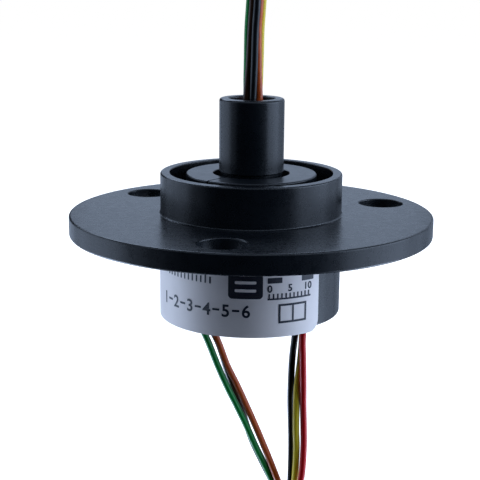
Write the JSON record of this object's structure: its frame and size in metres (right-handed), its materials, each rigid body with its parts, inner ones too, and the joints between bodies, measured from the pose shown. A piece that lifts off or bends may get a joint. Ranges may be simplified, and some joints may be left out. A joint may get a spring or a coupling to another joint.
{
  "type": "slip ring",
  "caption": "Capsule slip ring: a flanged round housing carries a turning tube, and coloured leads leave both for passing current between fixed and rotating parts.",
  "frame": {"origin": "on the rotor's axis, at the flange's underside, which seats on the machine", "axes": "+Z along the rotor's axis, from the housing towards the rotor tube; -Y is the front, where most of the label is"},
  "size_m": [0.044, 0.0522, 0.1111],
  "materials": {
    "housing_plastic": "near-black moulded plastic with a smooth satin surface",
    "label_foil": "pale blue-grey satin foil with black print",
    "cap_plastic": "black moulded plastic, satin",
    "end_cap_plastic": "black moulded plastic, fine matt",
    "sealant": "cured black sealant",
    "bearing_steel": "ground bearing steel",
    "ball_steel": "polished steel balls",
    "cage_brass": "pressed brass cage",
    "board_green": "green circuit board",
    "contact_gold": "gold-plated contact metal, polished",
    "rotor_plastic": "near-black moulded plastic with a smooth satin surface",
    "insulator_plastic": "natural moulded plastic washers",
    "retainer_steel": "turned steel washer",
    "conductor_copper": "tinned copper strands",
    "lead_black": "smooth black insulation",
    "lead_brown": "smooth brown insulation",
    "lead_red": "smooth red insulation",
    "lead_orange": "smooth orange insulation",
    "lead_yellow": "smooth yellow insulation",
    "lead_green": "smooth green insulation",
    "hank_mix": "folded leads of six colours",
    "tie_plastic": "black wire tie"
  },
  "bodies": {
    "stator": {"stator_housing": "housing_plastic", "label": "label_foil", "retaining_cap": "cap_plastic", "end_cap": "end_cap_plastic", "exit_sealant": "sealant", "upper_outer_race": "bearing_steel", "lower_outer_race": "bearing_steel", "left_brush_board": "board_green", "right_brush_board": "board_green", "left_brushes": "contact_gold", "right_brushes": "contact_gold", "stator_lead_black": "lead_black", "stator_lead_brown": "lead_brown", "stator_lead_red": "lead_red", "stator_lead_orange": "lead_orange", "stator_lead_yellow": "lead_yellow", "stator_lead_green": "lead_green", "stator_lead_hank": "hank_mix", "stator_hank_tie": "tie_plastic"},
    "rotor": {"rotor_shaft": "rotor_plastic", "contact_ring_1": "contact_gold", "contact_ring_2": "contact_gold", "contact_ring_3": "contact_gold", "contact_ring_4": "contact_gold", "contact_ring_5": "contact_gold", "contact_ring_6": "contact_gold", "ring_insulators": "insulator_plastic", "stack_retainer": "retainer_steel", "solder_tails": "conductor_copper", "upper_inner_race": "bearing_steel", "lower_inner_race": "bearing_steel", "rotor_lead_black": "lead_black", "rotor_lead_brown": "lead_brown", "rotor_lead_red": "lead_red", "rotor_lead_orange": "lead_orange", "rotor_lead_yellow": "lead_yellow", "rotor_lead_green": "lead_green", "rotor_lead_hank": "hank_mix", "rotor_hank_tie": "tie_plastic"},
    "upper_ball_set": {"upper_balls": "ball_steel", "upper_cage": "cage_brass"},
    "lower_ball_set": {"lower_balls": "ball_steel", "lower_cage": "cage_brass"}
  },
  "joints": [
    {"name": "rotor_spin", "type": "hinge", "parent": "stator", "child": "rotor", "pos_m": [0, 0, 0], "axis": [0, 0, 1], "continuous": true},
    {"name": "upper_ball_orbit", "type": "hinge", "parent": "stator", "child": "upper_ball_set", "pos_m": [0, 0, 0.00475], "axis": [0, 0, 1], "continuous": true},
    {"name": "lower_ball_orbit", "type": "hinge", "parent": "stator", "child": "lower_ball_set", "pos_m": [0, 0, -0.00795], "axis": [0, 0, 1], "continuous": true}
  ],
  "couplings": [
    {"joint": "upper_ball_orbit", "follows": "rotor_spin", "ratio": 0.4453},
    {"joint": "lower_ball_orbit", "follows": "rotor_spin", "ratio": 0.4285}
  ]
}
